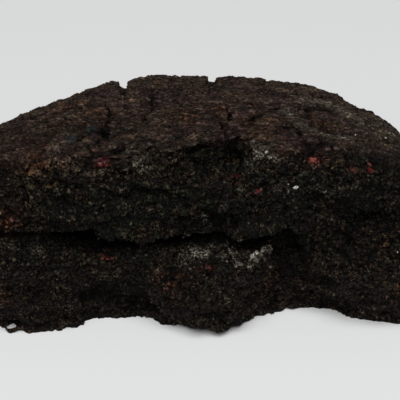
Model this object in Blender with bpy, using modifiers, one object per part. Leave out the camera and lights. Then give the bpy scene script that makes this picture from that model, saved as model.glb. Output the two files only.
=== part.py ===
"""Half of a thick chocolate cookie, as one closed solid.

The cookie was a low dome with a cracked crust. It is broken across the middle, and the broken face looks
along -Y. The crumb has torn into an upper and a lower layer there, with a deep split between them, a lump of
crumb standing out below the split and a piece of crust missing above it. The base is flat at Z = 0, and the
origin is at the bottom centre of the bounding box.

Run with: blender --background --python part.py
"""

import math

import bmesh
import bpy
import numpy as np
from mathutils import Vector, noise

MM = 0.001  # lengths below are in millimetres, and the meshes are in metres

# The whole cookie, before it was broken
COOKIE_RADIUS = 53.0
CROWN_HEIGHT = 36.0  # base to the top of the dome
BELLY_HEIGHT = 13.0  # where the side is widest
FOOT_RADIUS = 47.5  # where the side meets the base
DOME_POWER = 3.0  # 2 would be an ellipse, and more is boxier
TURN_STEPS = 96
ARC_STEPS = 16  # steps of the profile from the crown to the belly

# The break. Depths are measured back from its foremost point, along +Y.
BREAK_Y = -0.5  # the foremost point, seen from the whole cookie's axis
UPPER_DEPTH = 5.8  # how far back the upper layer of crumb stands
UPPER_LEAN = 0.10  # how much the upper layer leans back, for each millimetre up
SPLIT_HEIGHT = 16.0  # the split between the layers, at its lowest
SPLIT_LOW_X = -8.0  # where it is lowest
SPLIT_RISE = 0.003  # how fast it rises to both sides, per millimetre
SPLIT_BLEND = 0.9  # half the height over which one layer gives way to the other
CRUST_THICKNESS = 1.2

# How far back the foot of the lower layer stands: (x, depth)
FOOT_LINE = (
    (-53.0, 4.5),
    (-44.0, 2.5),
    (-38.0, 0.6),
    (-34.0, 0.3),
    (-24.0, 0.6),
    (-21.0, 4.4),
    (-10.0, 4.0),
    (-7.5, 1.6),
    (-4.0, 1.4),
    (-2.0, 0.5),
    (5.0, 0.4),
    (8.0, 3.6),
    (12.0, 5.4),
    (17.0, 7.2),
    (25.5, 7.4),
    (29.0, 4.2),
    (38.0, 2.9),
    (46.0, 4.0),
    (53.0, 6.0),
)

# The crust's edge above the break: (x, how far back it is, how deep the crumb lies bare in front of it)
CRUST_EDGE = (
    (-53.0, 9.0, 3.5),
    (-38.0, 12.5, 5.0),
    (-28.0, 13.0, 5.5),
    (-14.0, 11.0, 5.5),
    (-7.0, 10.5, 5.0),
    (0.0, 13.0, 5.0),
    (6.5, 15.0, 4.5),
    (10.0, 12.0, 3.6),
    (20.0, 13.5, 4.0),
    (30.0, 13.5, 5.0),
    (40.0, 12.5, 5.0),
    (53.0, 9.0, 3.5),
)
SHOULDER_POWER = 1.7  # 1 would be a chamfer, and more is rounder

# Lumps and dips of the broken face: (x, height, half width, half height, how far in, or out if negative)
FACE_FORMS = {
    "central lump": (2.8, 7.4, 9.6, 7.0, -3.4),
    "left toe": (-32.0, 6.5, 9.5, 7.5, -1.4),
    "left knob": (-8.8, 8.0, 4.0, 4.5, -1.5),
    "right heel": (37.0, 8.0, 9.0, 7.5, -2.2),
    "right lower layer": (22.0, 10.0, 8.0, 5.0, -2.6),
    "hollow left of the lump": (-16.5, 5.0, 5.5, 4.0, 1.6),
    "notch beside the lump": (16.0, 13.5, 2.2, 4.6, 4.5),
    "left upper step": (-27.0, 25.0, 9.0, 3.4, -1.6),
    "band below the scoop": (2.0, 25.5, 8.5, 2.4, -1.0),
    "recess above the lump": (-1.0, 20.8, 7.0, 1.8, 1.3),
    "block beside the scoop": (12.5, 30.0, 3.4, 2.8, -1.8),
    "shadowed recess on the right": (30.0, 22.0, 8.5, 1.5, 3.2),
}

# Hollows torn out of the shoulder: (x, depth, height, and half its width, reach and height)
HOLLOWS = {
    "scoop": (0.4, 10.4, 32.0, 7.6, 5.2, 4.4),
    "deep end of the scoop": (6.8, 12.4, 31.4, 2.6, 4.4, 6.0),
    "slot beside the scoop": (9.2, 7.6, 30.2, 3.3, 3.6, 1.2),
    "pit on the left": (-18.8, 17.2, 34.4, 1.6, 1.5, 2.2),
    "crack above the left step": (-15.3, 8.6, 30.6, 3.0, 2.6, 0.9),
}

# Splits that run into the crumb: (x, height above the layers' split, half width, half height, reach)
SPLITS = {
    "main split": (-10.5, 0.2, 28.0, 1.35, 13.0),
    "split over the lump": (10.0, 0.2, 9.0, 1.2, 10.0),
    "right split": (31.0, 0.6, 10.0, 0.9, 7.0),
    "split below the notch": (21.0, -9.6, 4.6, 0.8, 6.0),
    "left tear": (-12.2, 11.6, 4.0, 0.8, 4.0),
    "tear in the lower layer": (-17.0, -7.4, 5.0, 0.9, 3.5),
}
SPLIT_WANDER = 0.5  # how far a split strays from the line between the layers
LUMP_LIFT = 1.6  # the lump hangs this far above what the cookie stands on
LUMP_LIFT_REACH = 4.5  # how far under the lump that goes

# Cracks in the crust: (x, y from the whole cookie's axis, heading in degrees, length, width, depth, lip)
CRUST_CRACKS = {
    "left rim notch": (-14.6, 26.0, 93.0, 27.0, 1.6, 2.6, 0.9),
    "right rim notch": (2.2, 33.0, 92.0, 16.0, 1.5, 1.3, 0.3),
    "edge of the left plate": (-27.5, 27.5, 12.0, 12.0, 1.7, 1.4, 0.6),
    "behind the pit": (-18.8, 17.0, 80.0, 7.5, 1.5, 1.3, 0.2),
    "left of the pit": (-19.0, 16.6, 207.0, 8.5, 1.7, 1.3, 0.2),
    "far left": (-37.0, 19.5, 15.0, 9.0, 1.4, 0.9, 0.3),
    "left end": (-44.0, 12.0, 60.0, 11.0, 1.5, 1.0, 0.3),
    "middle, back": (-8.0, 31.2, -8.0, 10.0, 1.4, 0.8, 0.3),
    "middle, into the scoop": (5.0, 25.5, -86.0, 12.5, 1.7, 1.7, 0.3),
    "right, back": (9.0, 28.4, -22.0, 11.0, 2.0, 1.6, 0.4),
    "right, front": (8.6, 19.0, 38.0, 6.5, 1.8, 1.2, 0.2),
    "beside the ridge": (15.4, 18.8, -60.0, 8.5, 1.5, 1.4, 0.5),
    "right rim": (20.0, 32.0, 20.0, 8.0, 2.0, 1.6, 0.8),
    "right end": (38.0, 14.0, 75.0, 12.0, 1.5, 1.0, 0.3),
    "back, left": (-30.0, 36.0, 130.0, 9.0, 1.6, 1.1, 0.4),
    "back, right": (13.0, 42.0, 62.0, 9.0, 1.6, 1.1, 0.4),
}
CRACK_WANDER = 2.4  # how far a crack strays from its heading
CRACK_WANDER_LENGTH = 6.0  # over which it strays
LIP_REACH = 4.0  # how far from the crack its raised lip has died down
PLATE_SIZE = 15.0  # mean distance between the fine cracks of the crust
PLATE_WARP = 3.0  # how far these stray from straight lines
PLATE_CRACK_WIDTH = 0.16  # as a share of the plate size
PLATE_CRACK_DEPTH = 0.7

# The right-hand plate of crust has an oval ridge on it
RIDGE_CENTRE = (23.8, 20.4)
RIDGE_RADII = (7.4, 6.9)
RIDGE_WIDTH = 0.24  # as a share of the radii
RIDGE_HEIGHT = 0.8

# Where the top swells or sinks as a whole: (x, y from the whole cookie's axis, radius, height)
CRUST_SWELLS = {
    "left end": (-40.0, 24.0, 12.0, 1.0),
    "left plate": (-19.5, 36.0, 5.5, 0.9),
    "right shoulder": (23.5, 33.0, 8.0, 1.1),
    "right end": (43.0, 20.0, 12.0, -2.0),
}

# Roughness: (wavelength, height) of each layer of noise
CRUMB_RELIEF = ((9.0, 1.3), (4.2, 1.1), (2.2, 0.7))
CRUST_RELIEF = ((17.0, 1.1), (6.0, 0.5), (2.8, 0.25))
BREAK_RELIEF = ((14.0, 1.5), (6.0, 1.0))
RIM_WAVES = ((30.0, 1.6), (11.0, 0.8))

VOXEL = 0.85  # spacing of the faces while the shape is worked
TRIANGLES = 11000  # what it is thinned to
FLAT_CUT = 0.5  # what the last cut takes off the base to make it flat


def smooth_step(low, high, value):
    """0 below low, 1 above high, and a smooth ramp between them."""
    t = min(1.0, max(0.0, (value - low) / (high - low)))
    return t * t * (3.0 - 2.0 * t)


def layered_noise(point, layers, seed):
    """The sum of several sizes of noise at a point. Each layer is (wavelength, height)."""
    shift = Vector((seed * 37.1, seed * 17.7, seed * 71.3))
    return sum(height * noise.noise(point / wavelength + shift) for wavelength, height in layers)


def crown_height(x, y):
    """Height of the turned dome above the base, at a place measured from the whole cookie's axis."""
    share = min(1.0, math.hypot(x, y) / COOKIE_RADIUS)
    return BELLY_HEIGHT + (CROWN_HEIGHT - BELLY_HEIGHT) * (1.0 - share**DOME_POWER) ** (1.0 / DOME_POWER)


def depth_under_crust(point):
    """Roughly how far a point lies inside the turned dome's surface."""
    share_out = math.hypot(point.x, point.y) / COOKIE_RADIUS
    share_up = max(0.0, point.z - BELLY_HEIGHT) / (CROWN_HEIGHT - BELLY_HEIGHT)
    filled = (share_out**DOME_POWER + share_up**DOME_POWER) ** (1.0 / DOME_POWER)
    return (1.0 - filled) * (COOKIE_RADIUS if share_up < share_out else CROWN_HEIGHT - BELLY_HEIGHT)


def split_height(x):
    """Height of the split between the two layers of crumb."""
    return SPLIT_HEIGHT + SPLIT_RISE * (x - SPLIT_LOW_X) ** 2


def crust_edge(x):
    """(how far back the crust's edge is, how deep the crumb lies bare in front of it) at a place across."""
    places, backs, drops = zip(*CRUST_EDGE)
    return np.interp(x, places, backs), np.interp(x, places, drops)


def break_depth(x, z):
    """How far back the broken face stands at a place across and a height."""
    split = split_height(x)
    above = smooth_step(split - SPLIT_BLEND, split + SPLIT_BLEND, z)
    foot = np.interp(x, *zip(*FOOT_LINE))
    depth = foot + (UPPER_DEPTH - foot) * above + UPPER_LEAN * max(0.0, z - split)
    for form_x, form_z, half_width, half_height, inward in FACE_FORMS.values():
        layer = above if form_z > split_height(form_x) else 1.0 - above
        spread = ((x - form_x) / half_width) ** 2 + ((z - form_z) / half_height) ** 2
        depth += inward * layer * math.exp(-spread * spread)
    # Above the shoulder the face leans back to the edge of the crust.
    edge_back, bared = crust_edge(x)
    crown = crown_height(x, BREAK_Y + edge_back)
    shoulder = crown - bared
    lean = min(1.0, max(0.0, (z - shoulder) / bared))
    return depth + max(0.0, edge_back - depth) * lean**SHOULDER_POWER


def link_mesh(name, mesh, collection):
    piece = bpy.data.objects.new(name, mesh)
    collection.objects.link(piece)
    return piece


def new_collection(name):
    collection = bpy.data.collections.new(name)
    bpy.context.scene.collection.children.link(collection)
    return collection


def make_helper(piece):
    """A cutter: it shapes another piece and isn't part of the model."""
    piece.hide_render = True
    piece.display_type = "WIRE"


def whole_cookie(collection):
    """The turned dome: its half profile from the crown down the side to the base, and a Screw modifier."""
    half = 2.0 / DOME_POWER
    profile = []
    for step in range(ARC_STEPS + 1):
        angle = math.radians(90.0 * (1.0 - step / ARC_STEPS))
        out = COOKIE_RADIUS * max(0.0, math.cos(angle)) ** half if step else 0.0
        up = BELLY_HEIGHT + (CROWN_HEIGHT - BELLY_HEIGHT) * max(0.0, math.sin(angle)) ** half
        profile.append((out * MM, 0.0, up * MM))
    for step in range(1, ARC_STEPS // 2 + 1):
        angle = math.radians(90.0 * step / (ARC_STEPS // 2))
        out = FOOT_RADIUS + (COOKIE_RADIUS - FOOT_RADIUS) * math.cos(angle)
        profile.append((out * MM, 0.0, BELLY_HEIGHT * (1.0 - math.sin(angle)) * MM))
    profile.append((0.0, 0.0, 0.0))
    mesh = bpy.data.meshes.new("cookie")
    mesh.from_pydata(profile, [(i, i + 1) for i in range(len(profile) - 1)], [])
    piece = link_mesh("cookie", mesh, collection)
    screw = piece.modifiers.new("Turn", "SCREW")
    screw.steps = screw.render_steps = TURN_STEPS
    screw.use_merge_vertices = True
    screw.merge_threshold = 0.00005
    return piece


def break_cutter(collection):
    """What broke away: a block in front of the break, whose back is the broken face."""
    width, height, spacing = 2.4 * COOKIE_RADIUS, 1.5 * CROWN_HEIGHT, 1.0
    mesh = bpy.data.meshes.new("break")
    form = bmesh.new()
    bmesh.ops.create_grid(
        form, x_segments=round(width / spacing), y_segments=round(height / spacing), size=0.5
    )
    for vert in form.verts:
        x = vert.co.x * width
        z = vert.co.y * height + 0.4 * height
        rough = layered_noise(Vector((x, 0.0, z)), BREAK_RELIEF, seed=3)
        vert.co = Vector((x, BREAK_Y + break_depth(x, z) + rough, z)) * MM
    moved = bmesh.ops.extrude_face_region(form, geom=form.faces[:], use_keep_orig=True)["geom"]
    for vert in moved:
        if isinstance(vert, bmesh.types.BMVert):
            vert.co.y = -1.5 * COOKIE_RADIUS * MM
    bmesh.ops.recalc_face_normals(form, faces=form.faces)
    form.to_mesh(mesh)
    form.free()
    make_helper(link_mesh("break", mesh, collection))


def split_cutter(name, size, collection):
    """A flat lens that opens a split in the broken face. It follows the line between the layers."""
    centre_x, above_split, half_width, half_height, reach = size
    mesh = bpy.data.meshes.new(name)
    form = bmesh.new()
    bmesh.ops.create_uvsphere(form, u_segments=48, v_segments=12, radius=1.0)
    for vert in form.verts:
        x = centre_x + half_width * vert.co.x
        z = split_height(x) + above_split + SPLIT_WANDER * noise.noise(Vector((x / 7.0, above_split, 0.0)))
        face = break_depth(x, z)
        vert.co = Vector((x, BREAK_Y + face + reach * vert.co.y, z + half_height * vert.co.z)) * MM
    bmesh.ops.recalc_face_normals(form, faces=form.faces)
    form.to_mesh(mesh)
    form.free()
    make_helper(link_mesh(name, mesh, collection))


def hollow_cutter(name, size, collection):
    """An uneven ball that tears a hollow out of the crumb."""
    x, depth, height, half_width, reach, half_height = size
    mesh = bpy.data.meshes.new(name)
    form = bmesh.new()
    bmesh.ops.create_icosphere(form, subdivisions=4, radius=1.0)
    seat = Vector((x, depth, height))
    for vert in form.verts:
        uneven = 1.0 + 0.3 * noise.noise(vert.co * 1.5 + seat) + 0.14 * noise.noise(vert.co * 4.0 + seat)
        place = vert.co * uneven
        place = Vector((x + half_width * place.x, depth + reach * place.y, height + half_height * place.z))
        vert.co = (place + Vector((0.0, BREAK_Y, 0.0))) * MM
    form.to_mesh(mesh)
    form.free()
    make_helper(link_mesh(name, mesh, collection))


def lump_underside_cutter(collection):
    """Lifts the central lump off the table: a low dome under its front."""
    x, _, half_width, _, _ = FACE_FORMS["central lump"]
    size = Vector((half_width, LUMP_LIFT_REACH, LUMP_LIFT))
    mesh = bpy.data.meshes.new("under the lump")
    form = bmesh.new()
    bmesh.ops.create_uvsphere(form, u_segments=24, v_segments=12, radius=1.0)
    for vert in form.verts:
        vert.co = (Vector((x, BREAK_Y, 0.0)) + vert.co * size) * MM
    form.to_mesh(mesh)
    form.free()
    make_helper(link_mesh("under the lump", mesh, collection))


def apply_modifiers(piece):
    """Makes the piece's mesh what its modifiers show."""
    graph = bpy.context.evaluated_depsgraph_get()
    shown = bpy.data.meshes.new_from_object(piece.evaluated_get(graph))
    piece.modifiers.clear()
    piece.data = shown


def cut_with(piece, cutter):
    """Takes a cutter off a piece. The EXACT solver empties the piece at the scoop's second cutter."""
    cut = piece.modifiers.new("Cut", "BOOLEAN")
    cut.operation = "DIFFERENCE"
    cut.solver = "MANIFOLD"
    cut.object = cutter
    apply_modifiers(piece)


def crack_mark(point, crack):
    """(how deep inside a crack a point is, from 0 to 1, and how far its raised lip lifts the point)."""
    start_x, start_y, heading, length, width, _, lip = crack
    angle = math.radians(heading)
    from_start = Vector((point.x - start_x, point.y - start_y))
    along = from_start.x * math.cos(angle) + from_start.y * math.sin(angle)
    across = from_start.y * math.cos(angle) - from_start.x * math.sin(angle)
    across += CRACK_WANDER * noise.noise(Vector((along / CRACK_WANDER_LENGTH, start_x, start_y)))
    ends = smooth_step(-1.5, 1.0, along) * smooth_step(length + 1.5, length - 5.0, along)
    inside = max(0.0, 1.0 - abs(across) / (0.5 * width))
    raised = lip * ends * math.exp(-across / LIP_REACH) if across > 0.0 else 0.0
    return smooth_step(0.0, 0.8, inside) * ends, raised


def plate_crack_mark(point):
    """How deep inside the fine cracks between the crust's plates a point is, from 0 to 1."""
    warp = PLATE_WARP * noise.noise(point / 9.0)
    place = Vector((point.x + warp, point.y - warp, 0.0)) / PLATE_SIZE
    near = noise.voronoi(place)[0]
    border = smooth_step(PLATE_CRACK_WIDTH, 0.0, near[1] - near[0])
    patchy = smooth_step(-0.15, 0.35, noise.noise(point / 16.0 + Vector((5.0, 9.0, 2.0))))
    return border * patchy


def ridge_height(point):
    """Height of the oval ridge on the right-hand plate of crust."""
    x = (point.x - RIDGE_CENTRE[0]) / RIDGE_RADII[0]
    y = (point.y - RIDGE_CENTRE[1]) / RIDGE_RADII[1]
    return RIDGE_HEIGHT * math.exp(-(((math.hypot(x, y) - 1.0) / RIDGE_WIDTH) ** 2))


def crust_lift(point, upward):
    """How far the baked top stands above the smooth dome: swells, cracks with raised lips, and the ridge."""
    lift = layered_noise(point, CRUST_RELIEF, seed=1)
    for x, y, radius, height in CRUST_SWELLS.values():
        lift += height * math.exp(-(((point.x - x) ** 2 + (point.y - y) ** 2) / radius**2))
    deepest = PLATE_CRACK_DEPTH * plate_crack_mark(point) * upward
    for crack in CRUST_CRACKS.values():
        inside, raised = crack_mark(point, crack)
        deepest = max(deepest, crack[5] * inside * upward)
        lift += raised * upward
    return lift + ridge_height(point) * upward - deepest


def work_surface(piece):
    """Moves each point along its normal: crumb is craggy, crust is swollen, cracked and wrinkled."""
    form = bmesh.new()
    form.from_mesh(piece.data)
    form.normal_update()
    moves = []
    for vert in form.verts:
        point = vert.co / MM
        crumb = smooth_step(0.5 * CRUST_THICKNESS, 1.8 * CRUST_THICKNESS, depth_under_crust(point))
        upward = smooth_step(0.1, 0.6, vert.normal.z)
        crags = layered_noise(point, CRUMB_RELIEF, seed=2)
        skin = crust_lift(point, upward)
        # The rim isn't round: the whole outline swells in and out.
        skin += (1.0 - upward) * layered_noise(point, RIM_WAVES, seed=5)
        base = smooth_step(0.0, 2.5, point.z)
        moves.append(vert.normal * (crags * crumb + skin * (1.0 - crumb)) * base * MM)
    for vert, move in zip(form.verts, moves):
        vert.co += move
    form.to_mesh(piece.data)
    form.free()


def thin_out(piece):
    """Fewer triangles where the surface is plain."""
    piece.data.calc_loop_triangles()
    thin = piece.modifiers.new("Thin", "DECIMATE")
    thin.ratio = TRIANGLES / len(piece.data.loop_triangles)
    thin.use_collapse_triangulate = True
    apply_modifiers(piece)


def flatten_base(piece, collection):
    """One last level cut, so that the cookie stands on a flat face."""
    mesh = bpy.data.meshes.new("table")
    form = bmesh.new()
    bmesh.ops.create_cube(form, size=1.0)
    side = 3.0 * COOKIE_RADIUS
    top = Vector((0.0, 0.0, FLAT_CUT - side / 2.0))
    for vert in form.verts:
        vert.co = (vert.co * side + top) * MM
    form.to_mesh(mesh)
    form.free()
    table = link_mesh("table", mesh, collection)
    make_helper(table)
    cut_with(piece, table)


def move_to_origin(piece):
    """Puts the bottom centre of the bounding box at the origin."""
    places = [vert.co for vert in piece.data.vertices]
    low = Vector(min(place[axis] for place in places) for axis in range(3))
    high = Vector(max(place[axis] for place in places) for axis in range(3))
    shift = Vector((-(low.x + high.x) / 2.0, -(low.y + high.y) / 2.0, -low.z))
    for vert in piece.data.vertices:
        vert.co += shift
    print("the whole cookie's axis is at", tuple(round(value / MM, 2) for value in shift), "mm")
    return shift


def material(name, colour, roughness):
    made = bpy.data.materials.new(name)
    made.use_nodes = True
    shader = made.node_tree.nodes["Principled BSDF"]
    shader.inputs["Base Color"].default_value = (*colour, 1.0)
    shader.inputs["Roughness"].default_value = roughness
    shader.inputs["Metallic"].default_value = 0.0
    return made


def paint(piece, axis_shift):
    """Baked crust on the outside, and the darker crumb on the broken face."""
    piece.data.materials.clear()
    piece.data.materials.append(material("baked_crust", (0.030, 0.020, 0.015), 0.62))
    piece.data.materials.append(material("torn_crumb", (0.013, 0.009, 0.007), 0.75))
    for face in piece.data.polygons:
        place = (face.center - axis_shift) / MM
        face.material_index = int(depth_under_crust(place) > 1.5 * CRUST_THICKNESS and face.normal.z > -0.9)
    piece.data.shade_smooth()
    piece.data.set_sharp_from_angle(angle=math.radians(38.0))


def main():
    for old in list(bpy.data.objects):
        bpy.data.objects.remove(old)
    parts = new_collection("chocolate_cookie")
    cutters = new_collection("cutters")
    cookie = whole_cookie(parts)
    break_cutter(cutters)
    for name, size in SPLITS.items():
        split_cutter(name, size, cutters)
    for name, size in HOLLOWS.items():
        hollow_cutter(name, size, cutters)
    lump_underside_cutter(cutters)
    for cutter in list(cutters.objects):
        cut_with(cookie, cutter)
    even = cookie.modifiers.new("Even faces", "REMESH")
    even.mode = "VOXEL"
    even.voxel_size = VOXEL * MM
    apply_modifiers(cookie)
    work_surface(cookie)
    thin_out(cookie)
    flatten_base(cookie, cutters)
    paint(cookie, move_to_origin(cookie))


main()
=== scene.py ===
# %% [markdown]
# # A broken chocolate cookie
#
# The object is half of one thick, very dark chocolate cookie. It lies on its flat baked base, with the broken
# side towards the camera. The solid model has its size, its large cracks and hollows, and nothing finer than
# about 2 mm. This file adds what the eye sees next: crumb that is torn into grains, a dry wrinkled crust,
# loose crumbs, the finishes, and a pale studio.

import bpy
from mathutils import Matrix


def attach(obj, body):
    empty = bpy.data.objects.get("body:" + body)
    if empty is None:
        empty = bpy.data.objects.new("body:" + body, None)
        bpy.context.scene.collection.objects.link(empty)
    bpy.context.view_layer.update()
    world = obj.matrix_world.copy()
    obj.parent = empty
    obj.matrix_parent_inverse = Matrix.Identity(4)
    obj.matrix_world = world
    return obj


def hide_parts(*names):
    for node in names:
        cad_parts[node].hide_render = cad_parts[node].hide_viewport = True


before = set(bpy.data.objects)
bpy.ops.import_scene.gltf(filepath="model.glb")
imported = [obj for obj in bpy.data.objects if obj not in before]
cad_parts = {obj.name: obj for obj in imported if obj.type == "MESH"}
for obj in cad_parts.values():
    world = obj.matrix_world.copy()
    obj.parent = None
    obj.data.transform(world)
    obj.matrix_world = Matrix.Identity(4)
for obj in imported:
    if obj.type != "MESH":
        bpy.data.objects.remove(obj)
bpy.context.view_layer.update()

# %% [markdown]
# ## Values that everything shares
#
# Food is easiest to think of in millimetres, and Blender's unit here is the metre, so lengths are written in
# millimetres and multiplied by `MM` where they meet a mesh. The operators act on all that is selected, and
# loading leaves the solid selected, so the selection is emptied first. Blender's vector noise starts from the
# clock unless it is given a seed, so it gets one, and the cookie comes out the same each time.

# %% Imports, units and the empty selection
import math

import bmesh
import bpy
import numpy as np
from mathutils import Vector, noise

MM = 0.001
NOISE_SEED = 4

bpy.ops.object.select_all(action="DESELECT")
noise.seed_set(NOISE_SEED)


def mm(point):
    """A mesh point, in millimetres."""
    return Vector(point) / MM


# %% [markdown]
# ## The camera
#
# A food photograph of this kind is taken with a long lens from about half a metre, looking down on it.
# The width of the frame at the cookie and the height of its back rim over its foot give the angle, 34.5
# degrees. It comes first, because it decides where fine detail is worth its triangles.

# %% Make the camera
CAMERA_HEIGHT_ANGLE = math.radians(34.5)
CAMERA_DISTANCE = 450 * MM
CAMERA_TARGET = Vector((0.0, -6.8 * MM, 17.5 * MM))

to_camera = Vector((0.0, -math.cos(CAMERA_HEIGHT_ANGLE), math.sin(CAMERA_HEIGHT_ANGLE)))
bpy.ops.object.camera_add(location=CAMERA_TARGET + to_camera * CAMERA_DISTANCE)
camera = bpy.context.object
camera.name = "camera"
camera.rotation_euler = to_camera.to_track_quat("Z", "Y").to_euler()
camera.data.lens = 210
camera.data.sensor_width = 36
camera.data.clip_start = 0.01
bpy.context.scene.camera = camera
print("camera at, mm:", [round(place, 1) for place in mm(camera.location)])

# %% [markdown]
# ## Where is crust, and where is crumb?
#
# The cookie was a dome before it broke. How far a point lies inside that dome says how deep it is under the
# crust, and the line where the crust ends above the break says what has come away. The two together give one
# number for each point, 0 for baked crust and 1 for torn crumb, which the relief, the loose grains and the
# colour all follow. A second number says how brown a place is, because the crumb browned too where it lay
# just under the crust, near the rim and near the hot tray. Places are measured from the axis of the whole
# cookie, as a baker would draw it.

# %% The dome and the crust's edge
COOKIE_RADIUS = 53.0
CROWN_HEIGHT = 36.0
BELLY_HEIGHT = 13.0
DOME_POWER = 3.0
AXIS = Vector((0.25, -25.29, -0.5))  # the whole cookie's axis, from the bottom centre of the half's box

# (x, y) of the line where the crust ends above the break
CRUST_EDGE = (
    (-53.0, 10.0), (-38.0, 11.5), (-28.0, 11.0), (-20.0, 9.0), (-14.0, 9.0), (-7.0, 9.8),
    (-4.0, 13.5), (2.0, 13.6), (6.5, 15.2), (9.0, 13.0), (14.0, 12.0), (20.0, 12.0),
    (28.0, 13.0), (34.0, 15.5), (40.0, 17.5), (53.0, 14.0),
)


def smooth_step(low, high, value):
    """0 below low, 1 above high, and a smooth ramp between them."""
    t = min(1.0, max(0.0, (value - low) / (high - low)))
    return t * t * (3.0 - 2.0 * t)


def layered_noise(place, layers, seed):
    """The sum of several sizes of noise. Each layer is (size in mm, height)."""
    shift = Vector((seed * 37.1, seed * 17.7, seed * 71.3))
    return sum(height * noise.noise(place / size + shift) for size, height in layers)


def depth_under_crust(place):
    """Roughly how far inside the dome a place is."""
    share_out = math.hypot(place.x, place.y) / COOKIE_RADIUS
    share_up = max(0.0, place.z - BELLY_HEIGHT) / (CROWN_HEIGHT - BELLY_HEIGHT)
    filled = (share_out**DOME_POWER + share_up**DOME_POWER) ** (1.0 / DOME_POWER)
    return (1.0 - filled) * (COOKIE_RADIUS if share_up < share_out else CROWN_HEIGHT - BELLY_HEIGHT)


def in_front_of_crust(place):
    """How far a place is in front of the crust's edge. The edge wanders by a millimetre or so."""
    edge = float(np.interp(place.x, *zip(*CRUST_EDGE)))
    return edge + layered_noise(place, ((5.0, 2.0), (1.8, 1.2)), seed=11) - place.y


def crumb_share(place):
    """0 on crust, 1 on crumb."""
    under = depth_under_crust(place)
    broken = smooth_step(-0.8, 1.2, in_front_of_crust(place)) * smooth_step(0.4, 1.6, under)
    return max(broken, smooth_step(2.6, 3.6, under))


# %% How brown each place is
SHOULDER_BROWN, LEFT_END_BROWN, RIGHT_END_BROWN, FOOT_BROWN = 0.75, 0.22, 0.08, 0.37
BROWN_PATCHES = (6.0, 0.35)  # (size in mm, strength)


def baked_share(place, crumb):
    """How dry and brown a place is: 1 on crust, less on the shoulder, at the ends and near the table."""
    in_front, under = in_front_of_crust(place), depth_under_crust(place)
    shoulder = smooth_step(7.0, 0.0, in_front) * smooth_step(9.0, 1.0, under)
    shoulder *= 1.0 - 0.65 * smooth_step(14.0, 28.0, place.x)  # the right shoulder is darker
    shoulder *= 1.0 - smooth_step(0.5, 2.5, under) * smooth_step(1.0, -1.0, in_front)  # not in the scoop
    ends = LEFT_END_BROWN * smooth_step(18.0, 40.0, -place.x)
    ends += RIGHT_END_BROWN * smooth_step(18.0, 40.0, place.x)
    ends += FOOT_BROWN * smooth_step(16.0, 12.5, place.z)
    size, strength = BROWN_PATCHES
    patches = strength * max(0.0, noise.noise(place / size + Vector((3.0, 8.0, 1.0))))
    return max(1.0 - crumb, min(1.0, max(SHOULDER_BROWN * shoulder, ends) + patches))


# %% [markdown]
# ## The cookie's body
#
# The solid is a net of 2 mm triangles. It can't be changed itself, so a copy is remeshed into small even
# squares. A voxel remesh does that in one step and leaves a closed skin, but it keeps the old facets, so a
# few rounds of smoothing take them away. The side that faces the camera then gets every square split in
# four, and the flat base, which nobody sees, becomes one face.

# %% Copy and remesh the solid
VOXEL = 0.74
SMOOTHING_ROUNDS = 4
BASE_LEVEL = 0.15


def apply_modifier(piece, kind, **settings):
    """Adds a modifier with its settings and applies it, as by hand."""
    bpy.context.view_layer.objects.active = piece
    modifier = piece.modifiers.new(kind.title(), kind)
    for setting, value in settings.items():
        setattr(modifier, setting, value)
    bpy.ops.object.modifier_apply(modifier=modifier.name)


def edit_faces(piece, wanted, operator, **settings):
    """Runs a mesh operator on the faces that a test chooses."""
    bpy.context.view_layer.objects.active = piece
    bpy.ops.object.mode_set(mode="EDIT")
    bpy.ops.mesh.select_mode(type="FACE")
    bpy.ops.mesh.select_all(action="DESELECT")
    bpy.ops.object.mode_set(mode="OBJECT")
    for face in piece.data.polygons:
        face.select = wanted(face)
    bpy.ops.object.mode_set(mode="EDIT")
    operator(**settings)
    bpy.ops.object.mode_set(mode="OBJECT")


def on_base(face):
    return face.center.z < BASE_LEVEL * MM and face.normal.z < -0.9


def towards_camera(face):
    return face.normal.dot(to_camera) > -0.05 and not on_base(face)


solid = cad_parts["cookie"]
body = bpy.data.objects.new("cookie_body", solid.data.copy())
bpy.context.scene.collection.objects.link(body)
body.data.materials.clear()
edit_faces(body, lambda face: True, bpy.ops.mesh.remove_doubles, threshold=0.001 * MM)
apply_modifier(body, "REMESH", mode="VOXEL", voxel_size=VOXEL * MM)
apply_modifier(body, "SMOOTH", factor=0.5, iterations=SMOOTHING_ROUNDS)
for vert in body.data.vertices:
    if vert.co.z < BASE_LEVEL * MM:
        vert.co.z = 0.0
edit_faces(body, towards_camera, bpy.ops.mesh.subdivide, number_cuts=1, smoothness=0.0)
edit_faces(body, on_base, bpy.ops.mesh.dissolve_limited, angle_limit=math.radians(2.0))
body.data.calc_loop_triangles()
print("the body has", len(body.data.loop_triangles), "triangles")

# %% [markdown]
# ## Cracks, crags and grains in the surface
#
# Torn crumb isn't noise: it is clusters of rounded grains with gaps between them. Cells around scattered
# points have that form, so each size of grain is a bump over a cell's middle, and the smaller ones sit on the
# larger. Flat ledges run through it, because the dough spread in layers. The deep split between the layers
# needs more care. Its two lips swell towards each other, the upper one hangs over in some places and draws
# back in others, and its floor is painted dark, as painted shade, up to the line where it comes out into the
# light.

# %% Relief of the torn crumb
CRUMB_CRAGS = ((7.0, 0.7), (3.2, 0.6))
CRUMB_LEDGES = ((3.4, 1.3), (1.6, 0.8))
LEDGE_STRETCH = Vector((3.2, 2.0, 1.0))
CRUMB_CELLS = ((2.1, 0.4), (1.1, 0.4))  # (size in mm, height)
CRUMB_RIDGES = ((1.5, 0.5), (0.8, 0.45))  # (size in mm, height)
CRUMB_SINK = 0.75  # so that the tallest grains end where the solid does
FOOT_SINK = 0.5  # more of it near the table, where the crumb has rubbed off

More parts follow.
